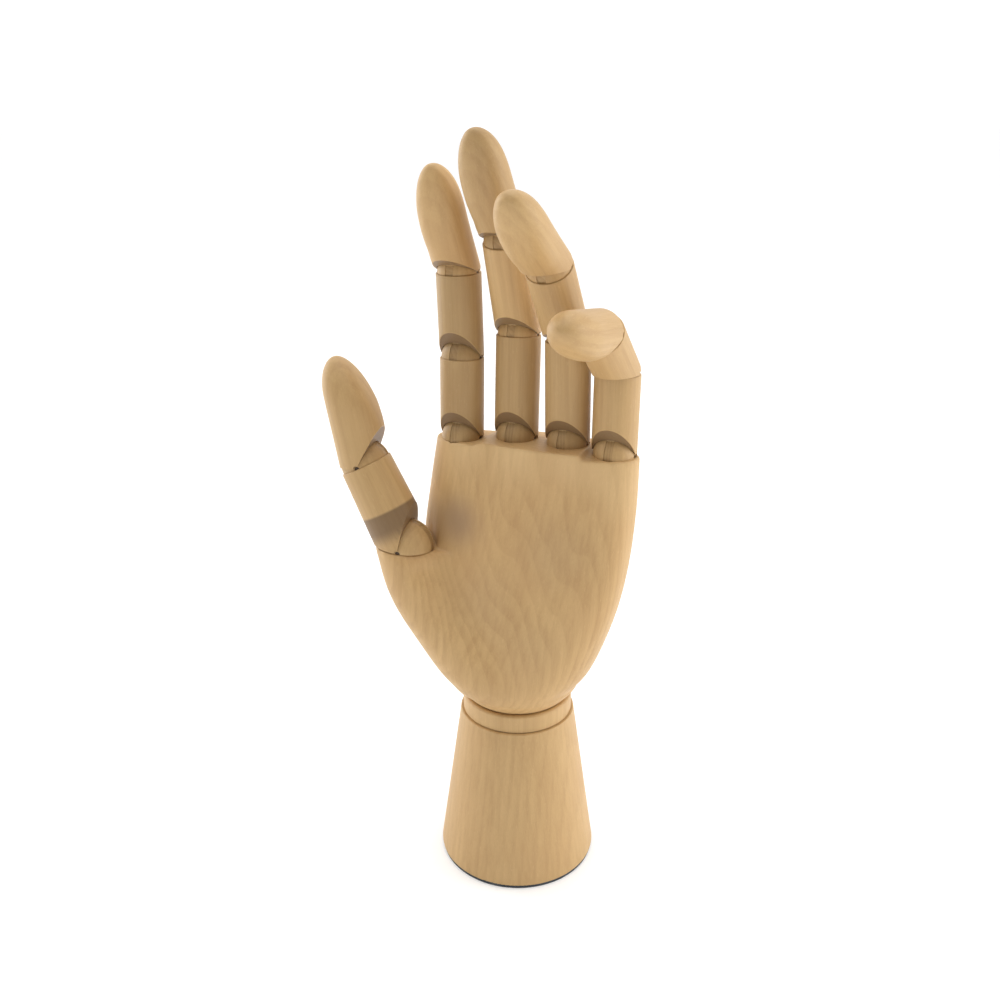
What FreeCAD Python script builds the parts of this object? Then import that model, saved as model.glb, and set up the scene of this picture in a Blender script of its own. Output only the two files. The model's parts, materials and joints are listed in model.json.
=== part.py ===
"""Jointed wooden model hand, left, 12 inch, on a turned wooden base.

Millimetres, +Z up, origin at the centre of the underside of the foot pad. The palm faces -Y, the
thumb is at -X and the little finger at +X. The hand is modelled in a relaxed pose, half open.

Every finger joint is the same ball joint with one hinge axis: a wooden half-ball is let into the top
of the lower piece, a thin wooden tongue fixed in the upper piece sits in a slot across the ball, and
a steel pin goes through both. The upper piece has a spherical cup over the ball and a slanted notch
on the palm side, which lets it bend forwards. The palm ends in a ball that rests in a dished collar.
A steel rod, pulled down by a spring inside the base, holds the ball, collar and base together.
"""
import FreeCAD
import Part

import math
import os

V = FreeCAD.Vector
X_AXIS = V(1, 0, 0)
Y_AXIS = V(0, 1, 0)
Z_AXIS = V(0, 0, 1)

# ---- base, foot pad and wrist ----
BASE_RADIUS = 32.5          # at the bottom
BASE_TOP_RADIUS = 23.2
BASE_TOP = 67.1             # height of the flat rim
PAD_THICKNESS = 1.2
PAD_INSET = 0.5             # the pad is this much smaller in radius than the base
COLLAR_RADIUS = 22.2
COLLAR_BOTTOM = 67.5        # height of the collar's lower edge
COLLAR_TOP = 74.8           # height of the collar's upper rim
BALL_SEAT_RADIUS = 20.3     # radius of the circle where the palm's ball meets the collar
WRIST_BALL_RADIUS = 30.0
DISH_RADIUS = 40.0          # the collar's domed underside
FIT_GAP = 0.15              # between the spherical faces of the wrist
DISH_Z = COLLAR_BOTTOM + math.sqrt(DISH_RADIUS ** 2 - COLLAR_RADIUS ** 2)
BASE_ROUND = 0.5
COLLAR_ROUND = 1.1
COLLAR_HOLE = 6.0
WRIST_Z = COLLAR_TOP + math.sqrt(WRIST_BALL_RADIUS ** 2 - BALL_SEAT_RADIUS ** 2)
WRIST = V(0, 0, WRIST_Z)    # centre of the palm's ball, where all wrist axes cross
BALL_TOP = 81.0             # the palm is a true ball up to this height

# ---- tension parts inside the wrist ----
ROD_RADIUS = 1.6
ROD_BORE = 3.0
ROD_HEAD_RADIUS = 7.5
ROD_HEAD_Z = 8.0
ROD_HEAD_THICKNESS = 2.0
SPRING_BORE = 9.5
SPRING_BORE_TOP = 30.0
SPRING_WIRE = 0.8           # radius of the wire
SPRING_RADIUS = 5.4
SPRING_TURNS = 6
LINK_RADIUS = 6.0           # middle radius of the steel link
LINK_WIRE = 0.9
ROD_EYE_RADIUS = 3.4
ROD_EYE_WIRE = 1.2
SCREW_EYE_RADIUS = 4.0
SCREW_EYE_WIRE = 1.0
SCREW_RADIUS = 1.8
SCREW_LENGTH = 16.0
CAVITY_RADIUS = 8.5
CAVITY_TOP = WRIST_Z + 12.5
CAVITY_FLARE_Z = WRIST_Z - 14.0
CAVITY_MOUTH_RADIUS = 14.0

# ---- finger joints ----
FINGER_RADIUS = 8.35
CUP_WALL = 0.55             # the ball is this much smaller in radius than the piece above it
CUP_GAP = 0.20              # between ball and cup
SEAT_DROP = 0.15            # the seat of a ball is this far below its hinge axis
NOTCH_LIFT = 0.15           # the ends of the upper piece stay this far above the axis
FLEX_LIMIT = 53.0           # degrees that the notch lets a piece bend forwards
STRAIGHT_LIMIT = 3.5        # degrees that a finger piece bends backwards past straight
TONGUE_HALF = 1.5           # half the thickness of a tongue
TONGUE_GAP = 0.06
TONGUE_RECESS = 0.35        # the tongue's round end is this far inside the ball's surface
TONGUE_HALF_WIDTH = 4.5
TONGUE_REACH = 15.5
SLOT_CLEARANCE = 0.15       # the slot's floor is this far inside the ball's surface
PEG_SHARE = 0.65            # radius of a half-ball's peg, as a share of the radius of its piece
PEG_FLOOR = 1.9             # thickness of the peg below the tongue's slot
PIN_RADIUS = 1.0
PIN_RUNNING_GAP = 0.05
RELIEF_RADIUS = 1.25        # small half-round relief over each end of a pin
PIN_END = 0.35              # the pin's ends are this far inside the ball's surface
RIM_ROUND = 0.35

# ---- last pieces of the digits, as shares of their length or radius ----
PAD_START = 0.30            # of the length: where the pad starts
PAD_POWER = 1.7             # 1 is a straight slope to the tip and 2 is a quarter of an ellipse
PAD_SQUARE = 0.45           # how much flatter the pad is across than an ellipse
TIP_BACK = 0.28             # of the radius: the tip lies this far behind the middle
NOSE = 2.1                  # of the radius: height of the narrowing end
BACK_ROUND = 1.35           # of the radius: height of the rounding at the back
SHANK_SECTIONS = 8
TIP_SECTIONS = 18
TIP_CAP = 0.01              # the last section is this far below the tip

# ---- fingers: knuckle centre, lengths of the three pieces, rest angles ----
FINGERS = {
    "index": {"knuckle": V(-23.5, 0.6, 180.1), "lengths": (30.9, 31.8, 42.2), "rest": (-2, 5, 27)},
    "middle": {"knuckle": V(-2.1, 3.7, 181.7), "lengths": (38.8, 36.7, 44.0), "rest": (-3, 21, 20)},
    "ring": {"knuckle": V(18.6, 3.7, 181.7), "lengths": (38.8, 34.3, 42.4), "rest": (2, 33, 23)},
    "little": {"knuckle": V(37.1, 2.4, 179.9), "lengths": (30.1, 27.9, 38.3), "rest": (-2, 52, 32)},
}
FINGER_PIECES = ("proximal", "middle", "distal")
FINGER_JOINTS = ("knuckle", "middle", "tip")

# ---- thumb ----
THUMB_CENTRE = V(-39.6, -17.7, 138.6)
THUMB_TURN = 100.0          # degrees from the palm side, about the vertical, to the way the thumb bends
THUMB_TILT_BACK = 4.5
THUMB_TILT_SIDE = 2.75
THUMB_LEAN = 30.0           # degrees that the thumb leans outwards at rest
THUMB_TIP_BEND = 14.7
THUMB_RADII = (11.3, 10.1)
THUMB_LENGTHS = (35.7, 42.5)

# ---- palm: heights, and the outline of the body at each of them ----
PALM_LEVELS = (80.5, 84, 90, 105, 120, 138, 160, 184)
PALM_RIGHT = (25.05, 27.0, 31.0, 36.9, 41.2, 44.4, 46.2, 46.6)
PALM_LEFT = (-25.05, -27.0, -30.6, -35.6, -38.8, -39.6, -37.2, -33.2)
PALM_FRONT = (-25.05, -26.6, -26.8, -24.0, -20.5, -16.5, -12.6, -10.0)
PALM_BACK = (25.05, 26.4, 26.0, 23.5, 21.2, 18.6, 16.0, 13.8)
MOUND_LEVELS = (80.5, 90, 105, 120, 138)
MOUND_X = (-5.0, -12.3, -23.5, -33.0, -39.6)
MOUND_Y = (-3.0, -6.5, -11.0, -15.0, -17.7)
MOUND_RADIUS = (17.0, 19.0, 17.6, 14.8, 12.0)
MOUND_BLEND = 11.0
HOLLOW_BLEND = 6.0          # roundness of the hollow between the mound's top and the body
HOLLOW_START = 0.5          # the mound counts as this much lower, so that the hollow starts off its edge
UPPER_SECTIONS = 17
THUMB_SPOT_GAP = 0.5        # the flat around the thumb's seat is this much wider than the thumb
SECTION_POINTS = 56
SEAT_OVERLAP = 0.4          # the upper palm starts this far below the thumb's seat
SHELL_STEP = 0.05           # the upper palm is this far inside the lower one where they meet


def cylinder(radius, low, high, axis=Z_AXIS, centre=V(0, 0, 0)):
    """A cylinder along an axis, between two distances from its centre point."""
    return Part.makeCylinder(radius, high - low, centre + axis * low, axis)


def cone(low_radius, high_radius, low, high):
    return Part.makeCone(low_radius, high_radius, high - low, V(0, 0, low), Z_AXIS)


def ball(radius, centre=V(0, 0, 0)):
    return Part.makeSphere(radius, centre)


def ring(radius, wire, centre, axis):
    return Part.makeTorus(radius, wire, centre, axis)


def box(x, y, z):
    """A box from three pairs of limits."""
    return Part.makeBox(x[1] - x[0], y[1] - y[0], z[1] - z[0], V(x[0], y[0], z[0]))


def placed(shape, placement):
    moved = shape.copy()
    moved.Placement = placement.multiply(moved.Placement)
    return moved


def turn(axis, degrees):
    return FreeCAD.Placement(V(0, 0, 0), FreeCAD.Rotation(axis, degrees))


def shift(vector):
    return FreeCAD.Placement(vector, FreeCAD.Rotation())


def smooth_curve(position, places, values):
    """The value at a position, on a smooth curve through a few given values."""
    last = len(places) - 1
    i = 0
    while i < last - 1 and position > places[i + 1]:
        i += 1
    span = places[i + 1] - places[i]
    t = min(max((position - places[i]) / span, 0.0), 1.0)

    def slope(k):
        before = max(k - 1, 0)
        after = min(k + 1, last)
        return (values[after] - values[before]) / (places[after] - places[before]) * span

    start = (2 * t ** 3 - 3 * t ** 2 + 1) * values[i] + (t ** 3 - 2 * t ** 2 + t) * slope(i)
    end = (3 * t ** 2 - 2 * t ** 3) * values[i + 1] + (t ** 3 - t ** 2) * slope(i + 1)
    return start + end


def smooth_min(a, b, blend):
    h = max(blend - abs(a - b), 0.0) / blend
    return min(a, b) - h * h * blend / 4


def smooth_max(a, b, blend):
    return -smooth_min(-a, -b, blend)


def section(depth, centre, level, reach, slope=(0.0, 0.0)):
    """A closed smooth wire where depth(x, y, z) changes sign, around a centre, in a sloping plane."""
    points = []
    for i in range(SECTION_POINTS):
        angle = 2 * math.pi * i / SECTION_POINTS
        low = 0.0
        high = reach
        for _ in range(26):
            middle = (low + high) / 2
            x = centre[0] + middle * math.cos(angle)
            y = centre[1] + middle * math.sin(angle)
            z = level + slope[0] * x + slope[1] * y
            if depth(x, y, z) < 0:
                low = middle
            else:
                high = middle
        points.append(V(x, y, z))
    curve = Part.BSplineCurve()
    curve.interpolate(Points=points, PeriodicFlag=True)
    return Part.Wire([curve.toShape()])


# ---------------------------------------------------------------- palm

def thumb_seat_slope():
    """The slope of the thumb's seat along X and along Y."""
    normal = thumb_frame().Rotation.multVec(Z_AXIS)
    return -normal.x / normal.z, -normal.y / normal.z


def thumb_frame():
    """Placement of the thumb's knuckle: Z along the seat's normal, -Y the way the thumb bends."""
    rotation = turn(Y_AXIS, THUMB_TILT_SIDE).multiply(turn(X_AXIS, -THUMB_TILT_BACK))
    rotation = rotation.multiply(turn(Z_AXIS, THUMB_TURN))
    return shift(THUMB_CENTRE).multiply(rotation)


def body_depth(x, y, z):
    """About how far outside the palm's body a point is."""
    right = smooth_curve(z, PALM_LEVELS, PALM_RIGHT)
    left = smooth_curve(z, PALM_LEVELS, PALM_LEFT)
    front = smooth_curve(z, PALM_LEVELS, PALM_FRONT)
    back = smooth_curve(z, PALM_LEVELS, PALM_BACK)
    power = 2.0 + 0.5 * min(max((z - 84) / 40, 0.0), 1.0)
    across = x - (left + right) / 2
    along = y - (front + back) / 2
    half_width = (right - left) / 2
    half_depth = (back - front) / 2
    size = (abs(across / half_width) ** power + abs(along / half_depth) ** power) ** (1 / power)
    return (size - 1) * math.hypot(across, along) / max(size, 1e-6)


def palm_depth(x, y, z, seat_height, above_seat):
    """Body and thumb mound in one. Above its seat the mound fades into the body in a round hollow."""
    level = min(z, MOUND_LEVELS[-1])
    centre_x = smooth_curve(level, MOUND_LEVELS, MOUND_X)
    centre_y = smooth_curve(level, MOUND_LEVELS, MOUND_Y)
    radius = smooth_curve(level, MOUND_LEVELS, MOUND_RADIUS)
    mound = math.hypot(x - centre_x, y - centre_y) - radius
    if above_seat:
        mound = math.hypot(max(mound, 0.0), max(z - seat_height(x, y), 0.0) + HOLLOW_START)
        hollow = smooth_min(body_depth(x, y, z), mound, HOLLOW_BLEND)
        spot = THUMB_RADII[0] + THUMB_SPOT_GAP - math.hypot(x - THUMB_CENTRE.x, y - THUMB_CENTRE.y)
        return smooth_max(hollow, spot, 2.0) + SHELL_STEP
    return smooth_min(body_depth(x, y, z), mound, MOUND_BLEND)


def palm_blank():
    """The palm's outer shape, before its top is cut: ball, lower part with the mound, upper part."""
    slope = thumb_seat_slope()
    seat = THUMB_CENTRE.z - SEAT_DROP - slope[0] * THUMB_CENTRE.x - slope[1] * THUMB_CENTRE.y

    def seat_height(x, y):
        return seat + slope[0] * x + slope[1] * y

    def lower(x, y, z):
        return palm_depth(x, y, z, seat_height, False)

    def upper(x, y, z):
        return palm_depth(x, y, z, seat_height, True)

    wires = []
    start = PALM_LEVELS[0]
    for i in range(15):
        level = start + (seat - start) * i / 14
        part = min(max((level - 95) / (seat - 95), 0.0), 1.0)
        share = part * part * (3 - 2 * part)
        centre = (-10.0 * share, -4.0 * share)
        wires.append(section(lower, centre, level, 90, (slope[0] * share, slope[1] * share)))
    lower_solid = Part.makeLoft(wires, True, False)

    wires = []
    full_rise = PALM_LEVELS[-1] - seat
    for i in range(UPPER_SECTIONS):
        t = i / (UPPER_SECTIONS - 1)
        rise = (0.4 * t + 0.6 * t * t) * (full_rise + SEAT_OVERLAP) - SEAT_OVERLAP
        share = 1 - t
        wires.append(section(upper, (0.0, 0.0), seat + rise, 90, (slope[0] * share, slope[1] * share)))
    upper_solid = Part.makeLoft(wires, True, False)

    wrist_ball = ball(WRIST_BALL_RADIUS, WRIST).common(box((-40, 40), (-40, 40), (60, BALL_TOP)))
    return wrist_ball.fuse(lower_solid).fuse(upper_solid)


def palm_top_cutter():
    """Everything above the top of the palm, which has a level seat at each finger's own height."""
    names = list(FINGERS)
    heights = [FINGERS[name]["knuckle"].z - SEAT_DROP for name in names]
    xs = [FINGERS[name]["knuckle"].x for name in names]
    points = [V(-70, 0, 230), V(-70, 0, heights[0])]
    for i in range(3):
        middle = (xs[i] + xs[i + 1]) / 2
        if heights[i] != heights[i + 1]:
            ramp = min((xs[i + 1] - xs[i]) / 2 - FINGER_RADIUS - 0.3, 2.0)
            points.append(V(middle - ramp, 0, heights[i]))
            points.append(V(middle + ramp, 0, heights[i + 1]))
    points += [V(80, 0, heights[3]), V(80, 0, 230), points[0]]
    face = Part.Face(Part.makePolygon(points))
    return face.extrude(V(0, 160, 0)).translated(V(0, -80, 0))


def make_palm():
    shape = palm_blank().cut(palm_top_cutter())
    cavity = cylinder(CAVITY_RADIUS, CAVITY_FLARE_Z - 0.5, CAVITY_TOP)
    flare = cone(CAVITY_MOUTH_RADIUS, CAVITY_RADIUS, 64.0, CAVITY_FLARE_Z)
    screw_hole = cylinder(SCREW_RADIUS, CAVITY_TOP - 1, CAVITY_TOP + SCREW_LENGTH)
    shape = shape.cut(cavity).cut(flare).cut(screw_hole)
    for frame, radius in knuckle_frames():
        shape = shape.cut(placed(ball_socket(radius), frame))
    return shape


def knuckle_frames():
    """The five joints in the palm: placement and the radius of the piece above."""
    frames = [(shift(FINGERS[name]["knuckle"]), FINGER_RADIUS) for name in FINGERS]
    frames.append((thumb_frame(), THUMB_RADII[0]))
    return frames


# ---------------------------------------------------------------- joints of the fingers

def ball_radius(radius):
    return radius - CUP_WALL


def peg_depth(radius):
    return ball_radius(radius) + PEG_FLOOR


def slot_profile(radius, half):
    """The room for a tongue's round end: a disc across the hinge axis."""
    return cylinder(radius, -half, half, X_AXIS)


def ball_socket(radius):
    """What a half-ball and its tongue need cut out of the piece they are let into."""
    peg = cylinder(PEG_SHARE * radius, -peg_depth(radius), 1)
    disc = slot_profile(ball_radius(radius) - SLOT_CLEARANCE, TONGUE_HALF + TONGUE_GAP)
    return peg.fuse(disc).fuse(pin(radius))


def half_ball(radius):
    """Half-ball with its peg, slotted for the tongue and drilled for the pin."""
    r = ball_radius(radius)
    dome = ball(r).common(box((-r, r), (-r, r), (-SEAT_DROP, r)))
    peg = cylinder(PEG_SHARE * radius, -peg_depth(radius), 0)
    half = TONGUE_HALF + TONGUE_GAP
    slot = slot_profile(r - SLOT_CLEARANCE, half)
    slot = slot.fuse(box((-half, half), (-r - 1, r + 1), (-SEAT_DROP - 0.01, r + 1)))
    hole = cylinder(PIN_RADIUS, -radius, radius, X_AXIS)
    return dome.fuse(peg).cut(slot).cut(hole)


def tongue(radius):
    """Thin plate: a round end inside the ball and a straight end fixed in the piece above."""
    disc = slot_profile(ball_radius(radius) - TONGUE_RECESS, TONGUE_HALF)
    plate = disc.fuse(tongue_shank())
    return plate.cut(cylinder(PIN_RADIUS + PIN_RUNNING_GAP, -5, 5, X_AXIS))


def tongue_shank():
    return box((-TONGUE_HALF, TONGUE_HALF), (-TONGUE_HALF_WIDTH, TONGUE_HALF_WIDTH), (0, TONGUE_REACH))


def pin(radius):
    half = math.sqrt(ball_radius(radius) ** 2 - PIN_RADIUS ** 2) - PIN_END
    return cylinder(PIN_RADIUS, -half, half, X_AXIS)


def lower_end(radius, backward):
    """What is cut from the lower end of a piece: cup, notch, back slope, reliefs and tongue slot."""
    reach = radius + 3
    front = reach * math.tan(math.radians(FLEX_LIMIT))
    back = reach * math.tan(math.radians(backward))
    outline = [
        V(0, -reach, -30), V(0, reach, -30), V(0, reach, back + NOTCH_LIFT),
        V(0, 0, NOTCH_LIFT), V(0, -reach, front + NOTCH_LIFT), V(0, -reach, -30),
    ]
    wedge = Part.Face(Part.makePolygon(outline)).extrude(V(2 * reach, 0, 0)).translated(V(-reach, 0, 0))
    cup = ball(ball_radius(radius) + CUP_GAP)
    reliefs = cylinder(RELIEF_RADIUS, -reach, reach, X_AXIS, V(0, 0, NOTCH_LIFT))
    return wedge.fuse(cup).fuse(reliefs).fuse(tongue_shank())


def phalanx(radius, top_radius, length, backward):
    """A finger piece between two joints."""
    top = length - SEAT_DROP
    body = cylinder(radius, -radius, top)
    if radius != top_radius:
        body = cone(radius, top_radius, 0, top).fuse(cylinder(radius, -radius, 0))
    rims = [e for e in body.Edges if abs(e.BoundBox.ZMin - top) < 1e-6 and e.BoundBox.ZLength < 1e-6]
    body = body.makeFillet(RIM_ROUND, rims)
    body = body.cut(lower_end(radius, backward))
    return body.cut(placed(ball_socket(top_radius), shift(V(0, 0, length))))


def fingertip(radius, length, backward):
    """The last piece: egg-shaped at its end, with a straight back and a slanting, gently convex pad."""
    pad_start = PAD_START * length
    tip_y = TIP_BACK * radius
    nose = NOSE * radius
    back_round = BACK_ROUND * radius

    def fall(t, power):
        """From 1 at 0 to 0 at 1, along a quarter of a rounded curve."""
        share = min(max(t, 0.0), 1.0)
        return (1 - share ** power) ** (1 / power)

    def limits(z):
        front = tip_y - (tip_y + radius) * fall((z - pad_start) / (length - pad_start), PAD_POWER)
        back = tip_y + (radius - tip_y) * fall((z - length + back_round) / back_round, 2)
        side = radius * fall((z - length + nose) / nose, 2)
        return front, back, side

    def depth(x, y, z):
        front, back, side = limits(z)
        across = x / side
        along = (y - (front + back) / 2) / ((back - front) / 2)
        power = 2.0
        if along < 0:
            power += PAD_SQUARE * min(max((z - pad_start) / radius, 0.0), 1.0)
        return abs(across) ** power + abs(along) ** power - 1

    levels = [-radius + (pad_start + radius) * i / SHANK_SECTIONS for i in range(SHANK_SECTIONS)]
    rise = length - TIP_CAP - pad_start
    levels += [pad_start + rise * math.sin(math.pi / 2 * i / TIP_SECTIONS) for i in range(TIP_SECTIONS + 1)]
    wires = []
    for z in levels:
        front, back, _ = limits(z)
        wires.append(section(depth, (0.0, (front + back) / 2), z, 3 * radius))
    body = Part.makeLoft(wires, True, False)
    return body.cut(lower_end(radius, backward))


# ---------------------------------------------------------------- base and wrist

def make_base():
    body = cone(BASE_RADIUS, BASE_TOP_RADIUS, PAD_THICKNESS, BASE_TOP)
    edges = [e for e in body.Edges if e.BoundBox.ZLength < 1e-6]
    body = body.makeFillet(BASE_ROUND, edges)
    body = body.cut(ball(DISH_RADIUS + FIT_GAP, V(0, 0, DISH_Z)))
    body = body.cut(cylinder(ROD_BORE, 0, BASE_TOP))
    return body.cut(cylinder(SPRING_BORE, 0, SPRING_BORE_TOP))


def make_foot_pad():
    return cylinder(BASE_RADIUS - PAD_INSET, 0, PAD_THICKNESS)


def make_collar():
    body = cylinder(COLLAR_RADIUS, SPRING_BORE_TOP, COLLAR_TOP)
    rims = [e for e in body.Edges if e.BoundBox.ZMin > COLLAR_TOP - 1e-6]
    body = body.makeFillet(COLLAR_ROUND, rims)
    body = body.common(ball(DISH_RADIUS, V(0, 0, DISH_Z)))
    body = body.cut(ball(WRIST_BALL_RADIUS + FIT_GAP, WRIST))
    return body.cut(cylinder(COLLAR_HOLE, 0, BALL_TOP))


def make_rod():
    """Headed rod with an eye at its top."""
    eye_z = WRIST_Z - LINK_RADIUS
    rod = cylinder(ROD_RADIUS, ROD_HEAD_Z, eye_z - ROD_EYE_RADIUS)
    head = cylinder(ROD_HEAD_RADIUS, ROD_HEAD_Z, ROD_HEAD_Z + ROD_HEAD_THICKNESS)
    eye = ring(ROD_EYE_RADIUS, ROD_EYE_WIRE, V(0, 0, eye_z), Y_AXIS)
    return rod.fuse(head).fuse(eye)


def make_spring():
    """Compression spring between the rod's head and the top of its bore."""
    low = ROD_HEAD_Z + ROD_HEAD_THICKNESS + SPRING_WIRE + 0.02
    high = SPRING_BORE_TOP - SPRING_WIRE - 0.08
    path = Part.makeHelix((high - low) / SPRING_TURNS, high - low, SPRING_RADIUS)
    path = Part.Wire(path.Edges)
    start = path.Edges[0]
    tangent = start.tangentAt(start.FirstParameter)
    circle = Part.Wire([Part.makeCircle(SPRING_WIRE, V(SPRING_RADIUS, 0, 0), tangent)])
    coil = path.makePipeShell([circle], True, True)
    return coil.translated(V(0, 0, low))


def make_link():
    return ring(LINK_RADIUS, LINK_WIRE, WRIST, X_AXIS)


def make_screw_eye():
    eye_z = WRIST_Z + LINK_RADIUS
    eye = ring(SCREW_EYE_RADIUS, SCREW_EYE_WIRE, V(0, 0, eye_z), Y_AXIS)
    shank = cylinder(SCREW_RADIUS, eye_z + SCREW_EYE_RADIUS, CAVITY_TOP + SCREW_LENGTH - 0.5)
    return eye.fuse(shank)


# ---------------------------------------------------------------- assembly

def digit_chain(name):
    """Frames of a digit's pieces, lowest first, and its radii, lengths and backward limits."""
    if name == "thumb":
        seat = thumb_frame()
        angles = (-THUMB_LEAN, THUMB_TIP_BEND)
        lengths = THUMB_LENGTHS
        radii = THUMB_RADII
        backward = (THUMB_LEAN + 1.0, STRAIGHT_LIMIT)
    else:
        seat = shift(FINGERS[name]["knuckle"])
        angles = FINGERS[name]["rest"]
        lengths = FINGERS[name]["lengths"]
        radii = (FINGER_RADIUS,) * 3
        backward = (STRAIGHT_LIMIT,) * 3
    frames = []
    for i, angle in enumerate(angles):
        piece = seat.multiply(turn(X_AXIS, angle))
        frames.append((seat, piece))
        seat = piece.multiply(shift(V(0, 0, lengths[i])))
    return frames, radii, lengths, backward, angles


def make_digit(name):
    """All pieces of one finger or the thumb, by node name."""
    frames, radii, lengths, backward, _ = digit_chain(name)
    pieces = ("proximal", "distal") if name == "thumb" else FINGER_PIECES
    joints = ("knuckle", "tip") if name == "thumb" else FINGER_JOINTS
    made = {}
    for i, piece in enumerate(pieces):
        seat, frame = frames[i]
        radius = radii[i]
        if i < len(pieces) - 1:
            shape = phalanx(radius, radii[i + 1], lengths[i], backward[i])
        else:
            shape = fingertip(radius, lengths[i], backward[i])
        made[f"{name}_{piece}"] = placed(shape, frame)
        made[f"{name}_{joints[i]}_ball"] = placed(half_ball(radius), seat)
        made[f"{name}_{joints[i]}_tongue"] = placed(tongue(radius), frame)
        if i > 0:
            made[f"{name}_{joints[i]}_pin"] = placed(pin(radius), seat)
    return made


def make_all():
    parts = {
        "foot_pad": make_foot_pad(),
        "base": make_base(),
        "collar": make_collar(),
        "tension_rod": make_rod(),
        "tension_spring": make_spring(),
        "tension_link": make_link(),
        "palm_screw_eye": make_screw_eye(),
        "palm": make_palm(),
        "knuckle_pins": Part.makeCompound([placed(pin(r), frame) for frame, r in knuckle_frames()]),
    }
    for name in list(FINGERS) + ["thumb"]:
        parts.update(make_digit(name))
    return parts


def main():
    os.makedirs("parts", exist_ok=True)
    for name, shape in make_all().items():
        if not shape.isValid():
            print("not valid:", name)
        print(f"{name:24s} solids {len(shape.Solids)}  volume {shape.Volume:10.1f}")
        shape.exportStep(f"parts/{name}.step")


main()
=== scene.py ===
"""Looks for the jointed wooden hand: wood, steel and pad materials, floor, light and camera.

Metres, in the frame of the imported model: +Z up, palm towards -Y, thumb at -X.
"""
import json
import math

import bmesh
import bpy
from mathutils import Matrix, Vector


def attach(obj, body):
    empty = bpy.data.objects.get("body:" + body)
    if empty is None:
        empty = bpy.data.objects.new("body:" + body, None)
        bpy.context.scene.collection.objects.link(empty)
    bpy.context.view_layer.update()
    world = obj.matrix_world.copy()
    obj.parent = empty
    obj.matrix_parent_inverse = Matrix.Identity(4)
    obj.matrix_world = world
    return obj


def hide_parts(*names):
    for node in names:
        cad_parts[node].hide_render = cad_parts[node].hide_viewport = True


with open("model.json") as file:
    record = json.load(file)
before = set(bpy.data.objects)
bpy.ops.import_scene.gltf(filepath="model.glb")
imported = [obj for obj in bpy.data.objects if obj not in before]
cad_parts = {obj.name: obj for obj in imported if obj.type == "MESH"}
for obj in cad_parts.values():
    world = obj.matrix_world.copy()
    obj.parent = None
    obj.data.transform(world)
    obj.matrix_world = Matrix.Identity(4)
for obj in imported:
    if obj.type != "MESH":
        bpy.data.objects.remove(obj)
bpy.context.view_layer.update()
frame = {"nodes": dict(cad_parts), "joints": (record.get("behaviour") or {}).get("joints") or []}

MM = 0.001

nodes = frame["nodes"]
joints = {joint["name"]: joint for joint in frame["joints"]}

# ---- the digits: each finger's values say how light its three pieces are: partly a darker wood, partly painted shade where the fingers face less light ----
FINGER_WOOD_AND_SHADE_TONES = {"index": (0.77, 0.73, 0.93), "middle": (0.82, 0.95, 0.81), "ring": (0.85, 0.87, 0.89),
           "little": (0.93, 0.90, 0.90)}
FINGER_PIECES = ("proximal", "middle", "distal")
FINGER_JOINTS = ("knuckle", "middle", "tip")
FINGER_RADII = (8.35 * MM,) * 3
THUMB_PIECES = ("proximal", "distal")
THUMB_JOINTS = ("knuckle", "tip")
# the thumb's pieces: likewise partly a darker wood, partly painted shade
THUMB_WOOD_AND_SHADE_TONES = (0.90, 0.90)
THUMB_RADII = (11.3 * MM, 10.1 * MM)
TIP_BACK = 0.28             # of the radius: a digit's tip lies this far behind its axis
BALL_TONE = 0.96            # of the tone of the piece above
TONGUE_TONE = 0.86
FIRST_SEED = 3
SEEDS_PER_DIGIT = 7
BALL_SEED = 0.37            # added to the seed of the piece above
TONGUE_SEED = 0.61

# ---- camera ----
CAMERA_PLACE = Vector((139.1, -324.2, 292.4)) * MM
CAMERA_HEADING = 24.585     # degrees from +Y towards -X
CAMERA_DOWN = 19.985
CAMERA_ROLL = -0.378
CAMERA_LENS = 35.39         # on a 36 mm sensor
CAMERA_SHIFT = (0.0044, -0.0165)
CAMERA_NEAR = 0.01

# ---- wood colours, linear ----
PALE = (0.635, 0.415, 0.184)
TAN = (0.462, 0.272, 0.108)
PORE = (0.340, 0.195, 0.085)
PINK = (0.568, 0.346, 0.152)
CREAM = (0.765, 0.540, 0.275)
# painted shade, partly grime, for the palm's hollow and front
SHADE_AND_GRIME = (0.340, 0.215, 0.120)
# colour of the painted shade in a digit's notch
NOTCH_SHADE_COLOUR = (0.150, 0.088, 0.045)

# ---- wood texture: scales per mm, and lengths along the grain as shares of those across it ----
LONG = (1.0, 1.0, 0.10)
VERY_LONG = (1.0, 1.0, 0.025)
PORE_LONG = (1.0, 1.0, 0.07)
FLECK_LONG = (1.0, 1.0, 0.22)
WANDER_SCALE = 0.045
RING_WANDER = 9.0           # mm that the growth rings wander
FIBRE_SCALE = 4.2
STREAK_SCALE = 0.55
MOTTLE_SCALE = 0.07
PATCH_SCALE = 0.028
PORE_SCALE = 7.5
FLECK_SCALE = 1.9
LATE_WOOD = (0.15, 0.88)    # of a ring: where its late wood comes in
RING_END = (0.90, 1.0)      # and where the next ring's early wood begins
FIBRE_RANGE = (0.35, 0.70)  # noise values between which each kind of figure sets in
STREAK_RANGE = (0.38, 0.68)
MOTTLE_RANGE = (0.35, 0.70)
PATCH_RANGE = (0.45, 0.72)
PORE_RANGE = (0.66, 0.76)
FLECK_RANGE = (0.66, 0.74)
FIBRE_SHARE = 0.24          # how much of the darker colour each kind of figure brings in
STREAK_SHARE = 0.34
MOTTLE_SHARE = 0.36
PATCH_SHARE = 0.60
PORE_SHARE = 0.34
FLECK_SHARE = 0.16
WOOD_ROUGHNESS = 0.52
FIBRE_ROUGHNESS = 0.22
PATCH_ROUGHNESS = 0.10
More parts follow.
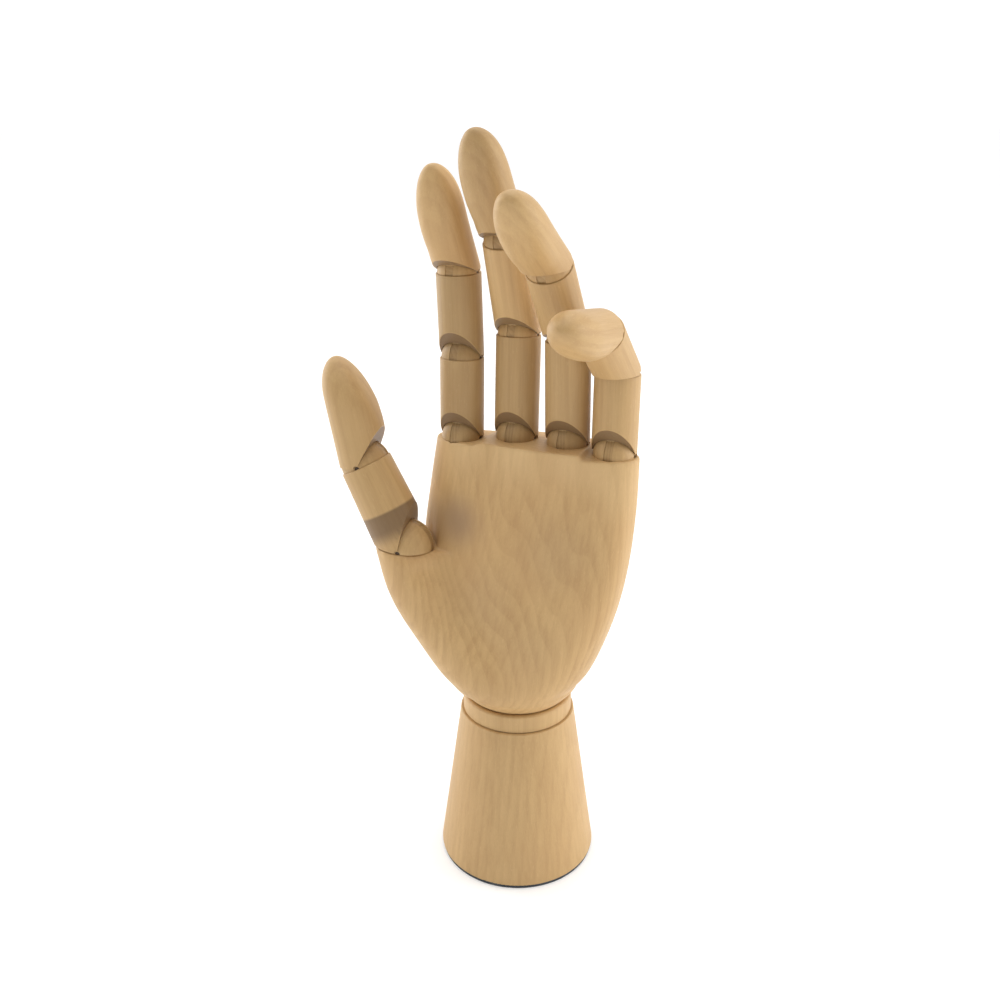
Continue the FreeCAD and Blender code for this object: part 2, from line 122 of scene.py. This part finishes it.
WOOD_SPECULAR = 0.38
WOOD_COAT = 0.06
WOOD_COAT_ROUGHNESS = 0.35
GRAIN_DEPTH = 0.05 * MM
GRAIN_STRENGTH = 0.55

# ---- painted shade in the notch of a digit's piece ----
NOTCH_SHADE_STRENGTH = 0.78
NOTCH_EDGE = 0.35 * MM      # this far in from a full radius, a face is fully dark
NOTCH_EDGE_END = 0.3        # of that, where the darkening ends
NOTCH_TOP = (1.40, 1.50)    # of the radius: heights between which the darkening fades

# ---- places on the palm with painted shade, partly grime, in its hollow and on its front, and painted highlight where its top and right edge face the light: mm, radius, strength, colour ----
SHADE_PATCH_BLUR = 8 * MM
PALM_SHADE_GRIME_AND_HIGHLIGHTS = (
    ((-19, -12, 150), 15, 0.74, SHADE_AND_GRIME), ((-28, -12, 150), 12, 0.24, SHADE_AND_GRIME),
    ((22, -18, 145), 24, 0.22, SHADE_AND_GRIME), ((-6, -24, 122), 24, 0.20, SHADE_AND_GRIME),
    ((14, -26, 108), 20, 0.14, SHADE_AND_GRIME), ((-20, -11, 181), 20, 0.46, CREAM),
    ((4, -11, 181), 20, 0.46, CREAM), ((26, -11, 180), 18, 0.42, CREAM),
    ((44, -4, 172), 20, 0.30, CREAM),
)

# ---- smoothing of the carved palm ----
PALM_VOXEL = 0.5 * MM
PALM_ROUNDS = 9
PALM_GRAIN = (0.10, 0.0, 1.0)
WELD = 0.001 * MM
SAND_FACTOR = 0.5

# ---- steel and foam ----
DARK_STEEL = (0.115, 0.088, 0.066)
BRIGHT_STEEL = (0.56, 0.56, 0.57)
DARK_STEEL_ROUGHNESS = 0.42
BRIGHT_STEEL_ROUGHNESS = 0.26
STEEL_LINES = (0.15, 4.0, 4.0)      # drawing lines per mm, long in X
STEEL_LINE_DEPTH = 0.01 * MM
TARNISH_SCALE = 0.35
TARNISH_DARKNESS = 0.55             # of the steel's own colour
FOAM_GRAIN_SCALE = 5.0
FOAM_WEAR_SCALE = 0.12
FOAM_GRAIN_DEPTH = 0.12 * MM
FOAM_DARK = (0.020, 0.027, 0.036)
FOAM_PALE = (0.075, 0.090, 0.105)
FOAM_WORN = (0.13, 0.14, 0.15)
OTHER_STEEL_NODES = ("knuckle_pins", "tension_rod", "tension_link", "palm_screw_eye")

# ---- floor and light ----
FLOOR_HALF = 60.0
FLOOR_COLOUR = (0.93, 0.93, 0.925)
FLOOR_ROUGHNESS = 0.75
FLOOR_SPECULAR = 0.2
FLOOR_GLOW = 0.11
SKY_SIDE = (-0.42, 0.88, 0.82)      # the sky is bright towards this side and dim away from it
SKY_RANGE = (-0.5, 0.45)
SKY_SHADES = (0.20, 1.12)
HAND_MIDDLE = Vector((0, 0, 0.16))
LIGHTS = (
    ("right_rim", (0.95, 0.35, 0.35), (0.6, 0.9), 5.0),
    ("left_rim", (-0.95, 0.10, 0.30), (0.6, 0.9), 4.0),
    ("top", (0.0, 0.3, 2.4), (2.6, 2.6), 20.0),
)


# ---------------------------------------------------------------- node helpers

SCALAR_OPERATIONS = ("DOT_PRODUCT", "LENGTH", "DISTANCE")


class Graph:
    """A short way to write a material's nodes."""

    def __init__(self, name):
        self.material = bpy.data.materials.new(name)
        self.material.use_nodes = True
        self.tree = self.material.node_tree
        self.tree.nodes.clear()
        self.output = self.node("ShaderNodeOutputMaterial")
        self.shader = self.node("ShaderNodeBsdfPrincipled")
        self.link(self.shader.outputs["BSDF"], self.output.inputs["Surface"])

    def node(self, kind, **settings):
        made = self.tree.nodes.new(kind)
        for key, value in settings.items():
            setattr(made, key, value)
        return made

    def link(self, a, b):
        self.tree.links.new(a, b)

    def put(self, socket, value):
        """Link a socket or set a constant."""
        if isinstance(value, bpy.types.NodeSocket):
            self.link(value, socket)
        else:
            socket.default_value = value

    def surface(self, **values):
        """Set the shader's sockets, by name with underscores for spaces."""
        for key, value in values.items():
            self.put(self.shader.inputs[key.replace("_", " ")], value)

    def math(self, operation, a, b=0.0, clamp=False):
        made = self.node("ShaderNodeMath", operation=operation, use_clamp=clamp)
        self.put(made.inputs[0], a)
        self.put(made.inputs[1], b)
        return made.outputs[0]

    def around(self, value, centre, amount):
        """amount times the distance of a value from a centre."""
        return self.math("MULTIPLY", self.math("SUBTRACT", value, centre), amount)

    def vector(self, operation, a, b=(0, 0, 0)):
        made = self.node("ShaderNodeVectorMath", operation=operation)
        self.put(made.inputs[0], a)
        self.put(made.inputs[1], b)
        return made.outputs["Value" if operation in SCALAR_OPERATIONS else "Vector"]

    def place(self):
        return self.node("ShaderNodeTexCoord").outputs["Object"]

    def ramp(self, value, low, high, start=0.0, end=1.0):
        """start below low, end above high, smooth between."""
        made = self.node("ShaderNodeMapRange", interpolation_type="SMOOTHSTEP")
        self.put(made.inputs["Value"], value)
        for name, number in (("From Min", low), ("From Max", high), ("To Min", start), ("To Max", end)):
            made.inputs[name].default_value = number
        return made.outputs["Result"]

    def mix(self, share, a, b, kind="MIX"):
        made = self.node("ShaderNodeMix", data_type="RGBA", blend_type=kind)
        self.put(made.inputs["Factor"], share)
        self.put(made.inputs[6], a if isinstance(a, bpy.types.NodeSocket) else (*a, 1))
        self.put(made.inputs[7], b if isinstance(b, bpy.types.NodeSocket) else (*b, 1))
        return made.outputs[2]

    def noise(self, vector, scale, detail=2.0, rough=0.5, distortion=0.0):
        made = self.node("ShaderNodeTexNoise")
        self.put(made.inputs["Vector"], vector)
        made.inputs["Scale"].default_value = scale
        made.inputs["Detail"].default_value = detail
        made.inputs["Roughness"].default_value = rough
        made.inputs["Distortion"].default_value = distortion
        return made.outputs["Fac"]

    def local(self, to_piece=Matrix.Identity(3), offset=(0, 0, 0)):
        """Coordinates in millimetres in the frame of one piece, with Z along its grain."""
        mapping = self.node("ShaderNodeMapping", vector_type="POINT")
        self.link(self.place(), mapping.inputs["Vector"])
        mapping.inputs["Scale"].default_value = (1 / MM,) * 3
        mapping.inputs["Rotation"].default_value = to_piece.to_euler()
        mapping.inputs["Location"].default_value = offset
        return mapping.outputs["Vector"]

    def bump(self, height, distance, strength):
        made = self.node("ShaderNodeBump")
        self.put(made.inputs["Height"], height)
        made.inputs["Distance"].default_value = distance
        made.inputs["Strength"].default_value = strength
        return made.outputs["Normal"]


# ---------------------------------------------------------------- materials

def growth_rings(g, place, long, offset, pith, ring_width):
    """The late wood of wandering rings around a pith beside the piece."""
    wander = g.noise(long, WANDER_SCALE, 2.0)
    split = g.node("ShaderNodeSeparateXYZ")
    g.link(place, split.inputs[0])
    x = g.math("SUBTRACT", split.outputs[0], offset.x - pith[0])
    y = g.math("SUBTRACT", split.outputs[1], offset.y - pith[1])
    radius = g.math("SQRT", g.math("ADD", g.math("MULTIPLY", x, x), g.math("MULTIPLY", y, y)))
    radius = g.math("ADD", radius, g.math("MULTIPLY", wander, RING_WANDER))
    cycle = g.math("FRACT", g.math("DIVIDE", radius, ring_width))
    return g.math("MULTIPLY", g.ramp(cycle, *LATE_WOOD), g.ramp(cycle, *RING_END, 1.0, 0.0))


def notch_painted_shade(g, centre, direction, radius):
    """Painted shade on the lower end of a digit's piece wherever it is nearer its axis than a full radius,
    where the cut faces lie in shadow.

    On the straight finger pieces only the cut faces are. The thumb's lower piece tapers, so there a band of
    the turned outside is darkened too.
    """
    from_centre = g.vector("SUBTRACT", g.place(), centre)
    height = g.vector("DOT_PRODUCT", from_centre, direction)
    length = g.vector("LENGTH", from_centre)
    square = g.math("SUBTRACT", g.math("POWER", length, 2.0), g.math("POWER", height, 2.0))
    away = g.math("SQRT", g.math("MAXIMUM", square, 0.0))
    edge = g.ramp(away, radius - NOTCH_EDGE, radius - NOTCH_EDGE_END * NOTCH_EDGE, NOTCH_SHADE_STRENGTH, 0.0)
    return g.math("MULTIPLY", edge, g.ramp(height, NOTCH_TOP[0] * radius, NOTCH_TOP[1] * radius, 1.0, 0.0))


def wood(name, grain_axis, seed, pith=(55.0, 20.0), ring_width=2.6, tone=1.0, ring_show=0.14, figure=0.65,
         shade_grime_and_highlights=(), shaded_notch=None):
    """Pale, fine-grained turned wood. grain_axis is the direction that the fibres run, at rest. figure is
    how strong streaks and mottling are, and shade_grime_and_highlights are places with a tint of their own:
    painted shade, partly grime, and painted highlights. shaded_notch is the lower end of a digit's piece, to
    get painted shade: a centre, a direction and a radius."""
    g = Graph(name)
    to_piece = Vector(grain_axis).normalized().rotation_difference(Vector((0, 0, 1))).to_matrix()
    offset = Vector((seed * 37.0 % 91, seed * 53.0 % 97, seed * 29.0 % 89))
    place = g.local(to_piece, offset)
    long = g.vector("MULTIPLY", place, LONG)
    very_long = g.vector("MULTIPLY", place, VERY_LONG)
    late = growth_rings(g, place, long, offset, pith, ring_width)

    # fibres, broad streaks, mottling and pinkish patches
    fibre = g.noise(very_long, FIBRE_SCALE, 3.0, 0.6)
    streak = g.noise(very_long, STREAK_SCALE, 3.0, 0.55)
    mottle = g.noise(long, MOTTLE_SCALE, 3.0, 0.5, 0.4)
    patch = g.noise(place, PATCH_SCALE, 2.0, 0.5)
    shade = g.math("MULTIPLY", late, ring_show)
    shade = g.math("ADD", shade, g.ramp(fibre, *FIBRE_RANGE, 0.0, FIBRE_SHARE * figure))
    shade = g.math("ADD", shade, g.ramp(streak, *STREAK_RANGE, 0.0, STREAK_SHARE * figure))
    shade = g.math("ADD", shade, g.ramp(mottle, *MOTTLE_RANGE, 0.0, MOTTLE_SHARE * figure), clamp=True)
    colour = g.mix(shade, PALE, TAN)
    colour = g.mix(g.ramp(patch, *PATCH_RANGE, 0.0, PATCH_SHARE * figure), colour, PINK)

    # short dark pores and pale flecks
    pore = g.ramp(g.noise(g.vector("MULTIPLY", place, PORE_LONG), PORE_SCALE, 1.0, 0.4), *PORE_RANGE)
    colour = g.mix(g.math("MULTIPLY", pore, PORE_SHARE * figure), colour, PORE)
    fleck = g.noise(g.vector("MULTIPLY", place, FLECK_LONG), FLECK_SCALE, 1.0, 0.4)
    colour = g.mix(g.ramp(fleck, *FLECK_RANGE, 0.0, FLECK_SHARE), colour, CREAM)
    # the tone lightens or darkens the whole piece; on the digits it is partly a darker wood, partly painted
    # shade
    colour = g.mix(1.0, colour, (tone, tone, tone), "MULTIPLY")

    # patches of painted shade, partly grime, and of painted highlight
    for centre, radius, strength, tint in shade_grime_and_highlights:
        away = g.vector("DISTANCE", g.place(), Vector(centre) * MM)
        away = g.math("ADD", away, g.around(mottle, 0.5, SHADE_PATCH_BLUR))
        colour = g.mix(g.ramp(away, 0.0, radius * MM, strength, 0.0), colour, tint)
    # painted shade on the notch's cut faces, which lie in shadow
    if shaded_notch:
        colour = g.mix(notch_painted_shade(g, *shaded_notch), colour, NOTCH_SHADE_COLOUR)

    rough = g.math("ADD", WOOD_ROUGHNESS, g.around(fibre, 0.5, FIBRE_ROUGHNESS))
    rough = g.math("ADD", rough, g.around(patch, 0.5, PATCH_ROUGHNESS))
    height = g.math("SUBTRACT", g.math("MULTIPLY", fibre, 0.6), pore)
    g.surface(Base_Color=colour, Roughness=rough, Specular_IOR_Level=WOOD_SPECULAR, Coat_Weight=WOOD_COAT,
              Coat_Roughness=WOOD_COAT_ROUGHNESS, Normal=g.bump(height, GRAIN_DEPTH, GRAIN_STRENGTH))
    return g.material


def steel(name, colour, roughness):
    """Drawn steel wire and pins, with fine lengthwise lines and a little tarnish."""
    g = Graph(name)
    place = g.local()
    lines = g.noise(g.vector("MULTIPLY", place, STEEL_LINES), 2.0, 3.0, 0.6)
    tarnish = g.noise(place, TARNISH_SCALE, 3.0, 0.6)
    dark = tuple(TARNISH_DARKNESS * c for c in colour)
    g.surface(Base_Color=g.mix(g.ramp(tarnish, 0.42, 0.70, 0.0, 0.6), colour, dark), Metallic=1.0,
              Roughness=g.math("ADD", roughness, g.math("MULTIPLY", lines, 0.18)),
              Normal=g.bump(lines, STEEL_LINE_DEPTH, 0.4))
    return g.material


def foam(name):
    """Dark foam pad, a little fuzzy."""
    g = Graph(name)
    place = g.local()
    grain = g.noise(place, FOAM_GRAIN_SCALE, 4.0, 0.65)
    worn = g.noise(place, FOAM_WEAR_SCALE, 3.0, 0.5)
    colour = g.mix(g.ramp(grain, 0.35, 0.7), FOAM_DARK, FOAM_PALE)
    colour = g.mix(g.ramp(worn, 0.45, 0.75, 0.0, 0.5), colour, FOAM_WORN)
    g.surface(Base_Color=colour, Roughness=g.ramp(grain, 0.3, 0.7, 0.82, 0.96),
              Normal=g.bump(grain, FOAM_GRAIN_DEPTH, 0.8))
    return g.material


def softened(node, name, voxel, rounds):
    """A finely sanded copy of a CAD node: an even mesh with all its edges rounded over."""
    mesh = nodes[node].data.copy()
    merged = bmesh.new()
    merged.from_mesh(mesh)
    bmesh.ops.remove_doubles(merged, verts=merged.verts, dist=WELD)
    merged.to_mesh(mesh)
    merged.free()
    rough_copy = bpy.data.objects.new(name, mesh)
    bpy.context.collection.objects.link(rough_copy)
    remesh = rough_copy.modifiers.new("even", "REMESH")
    remesh.mode = "VOXEL"
    remesh.voxel_size = voxel
    remesh.use_smooth_shade = True
    sand = rough_copy.modifiers.new("sanded", "SMOOTH")
    sand.factor = SAND_FACTOR
    sand.iterations = rounds
    bpy.context.view_layer.update()
    evaluated = rough_copy.evaluated_get(bpy.context.evaluated_depsgraph_get())
    smooth_mesh = bpy.data.meshes.new_from_object(evaluated)
    rough_copy.modifiers.clear()
    rough_copy.data = smooth_mesh
    smooth_mesh.materials.clear()
    return rough_copy


def paint(node, material):
    """Give a CAD node its material."""
    mesh = nodes[node].data
    mesh.materials.clear()
    mesh.materials.append(material)


# ---------------------------------------------------------------- the hand

def joint_place(name):
    return Vector(joints[name]["pos_m"])


def digit_axes(digit, pieces, kinds, radius):
    """The direction along each piece of a digit at rest: joint to joint, and for the last its own axis."""
    places = [joint_place(f"{digit}_{kind}_bend") for kind in kinds]
    axes = [places[i + 1] - places[i] for i in range(len(places) - 1)]
    corners = nodes[f"{digit}_{pieces[-1]}"].data.vertices
    farthest = max((v.co for v in corners), key=lambda co: (co - places[-1]).length)
    to_tip = farthest - places[-1]
    lean = math.asin(TIP_BACK * radius / to_tip.length)
    hinge = Vector(joints[f"{digit}_{kinds[-1]}_bend"]["axis"])
    axes.append(Matrix.Rotation(lean, 3, hinge) @ to_tip)
    return axes


def dress_digit(digit, pieces, kinds, first_seed, wood_and_shade_tones, radii):
    """Give every wooden node of a digit its own piece of wood."""
    axes = digit_axes(digit, pieces, kinds, radii[-1])
    for i, (piece, kind) in enumerate(zip(pieces, kinds)):
        seed = first_seed + i
        axis = axes[i]
        below = axes[i - 1] if i else Vector((0, 0, 1))
        shaded_notch = (joint_place(f"{digit}_{kind}_bend"), axis.normalized(), radii[i])
        body = f"{digit}_{piece}"
        ball = f"{digit}_{kind}_ball"
        tongue = f"{digit}_{kind}_tongue"
        paint(body, wood(f"wood_{body}", axis, seed, tone=wood_and_shade_tones[i], ring_width=2.2 + 0.3 * i,
                         pith=(30.0 + 11 * i, -24.0 + 17 * i), shaded_notch=shaded_notch))
        paint(ball, wood(f"wood_{ball}", below, seed + BALL_SEED, tone=wood_and_shade_tones[i] * BALL_TONE, ring_width=1.8))
        paint(tongue, wood(f"wood_{tongue}", axis, seed + TONGUE_SEED, tone=wood_and_shade_tones[i] * TONGUE_TONE,
                           ring_width=1.1, ring_show=0.5))


seed = FIRST_SEED
# each digit's tones are partly a darker wood, partly painted shade
for digit, wood_and_shade_tones in FINGER_WOOD_AND_SHADE_TONES.items():
    dress_digit(digit, FINGER_PIECES, FINGER_JOINTS, seed, wood_and_shade_tones, FINGER_RADII)
    seed += SEEDS_PER_DIGIT
dress_digit("thumb", THUMB_PIECES, THUMB_JOINTS, seed, THUMB_WOOD_AND_SHADE_TONES, THUMB_RADII)

palm = softened("palm", "carved_palm", PALM_VOXEL, PALM_ROUNDS)
palm.data.materials.append(wood("wood_palm", PALM_GRAIN, 2, pith=(-14.0, -75.0), ring_width=2.3,
                                ring_show=0.22, figure=0.8, shade_grime_and_highlights=PALM_SHADE_GRIME_AND_HIGHLIGHTS))
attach(palm, "palm")
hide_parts("palm")
paint("base", wood("wood_base", (0, 0, 1), 11, pith=(70.0, 12.0), ring_width=3.4, tone=0.95))
paint("collar", wood("wood_collar", (0, 0, 1), 12, pith=(40.0, -55.0), ring_width=3.0, tone=0.98))
paint("foot_pad", foam("pad"))
dark_steel = steel("steel_pins", DARK_STEEL, DARK_STEEL_ROUGHNESS)
bright_steel = steel("steel_spring", BRIGHT_STEEL, BRIGHT_STEEL_ROUGHNESS)
for node in nodes:
    if node.endswith("_pin") or node in OTHER_STEEL_NODES:
        paint(node, dark_steel)
paint("tension_spring", bright_steel)


# ---------------------------------------------------------------- floor, light and camera

def make_floor():
    mesh = bpy.data.meshes.new("floor")
    corners = [(x * FLOOR_HALF, y * FLOOR_HALF, 0) for x, y in ((-1, -1), (1, -1), (1, 1), (-1, 1))]
    mesh.from_pydata(corners, [], [(0, 1, 2, 3)])
    floor = bpy.data.objects.new("floor", mesh)
    bpy.context.collection.objects.link(floor)
    g = Graph("floor")
    g.surface(Base_Color=(*FLOOR_COLOUR, 1), Roughness=FLOOR_ROUGHNESS, Specular_IOR_Level=FLOOR_SPECULAR,
              Emission_Color=(1, 1, 1, 1), Emission_Strength=FLOOR_GLOW)
    mesh.materials.append(g.material)
    return floor


def make_sky():
    """A studio that is bright behind and above the hand and dim in front of it."""
    world = bpy.data.worlds.new("studio")
    bpy.context.scene.world = world
    world.use_nodes = True
    tree = world.node_tree
    background = tree.nodes["Background"]
    background.inputs["Strength"].default_value = 1.0
    place = tree.nodes.new("ShaderNodeTexCoord")
    side = tree.nodes.new("ShaderNodeVectorMath")
    side.operation = "DOT_PRODUCT"
    side.inputs[1].default_value = SKY_SIDE
    shade = tree.nodes.new("ShaderNodeMapRange")
    shade.interpolation_type = "SMOOTHSTEP"
    for key, value in zip(("From Min", "From Max", "To Min", "To Max"), SKY_RANGE + SKY_SHADES):
        shade.inputs[key].default_value = value
    tree.links.new(place.outputs["Generated"], side.inputs[0])
    tree.links.new(side.outputs["Value"], shade.inputs["Value"])
    tree.links.new(shade.outputs["Result"], background.inputs["Color"])


def area_light(name, place, size, power):
    data = bpy.data.lights.new(name, "AREA")
    data.shape = "RECTANGLE"
    data.size, data.size_y = size
    data.energy = power
    light = bpy.data.objects.new(name, data)
    bpy.context.collection.objects.link(light)
    light.location = place
    light.rotation_euler = (HAND_MIDDLE - Vector(place)).to_track_quat("-Z", "Y").to_euler()


def make_camera():
    data = bpy.data.cameras.new("camera")
    data.lens = CAMERA_LENS
    data.shift_x, data.shift_y = CAMERA_SHIFT
    data.clip_start = CAMERA_NEAR
    camera = bpy.data.objects.new("camera", data)
    bpy.context.collection.objects.link(camera)
    heading = Matrix.Rotation(math.radians(CAMERA_HEADING), 4, "Z")
    tilt = Matrix.Rotation(math.radians(90 - CAMERA_DOWN), 4, "X")
    roll = Matrix.Rotation(math.radians(CAMERA_ROLL), 4, "Z")
    camera.matrix_world = Matrix.Translation(CAMERA_PLACE) @ heading @ tilt @ roll
    return camera


floor = make_floor()
make_sky()
for light in LIGHTS:
    area_light(*light)
camera = make_camera()
bpy.context.scene.camera = camera
bpy.context.scene.view_settings.view_transform = "Standard"

bpy.context.view_layer.update()
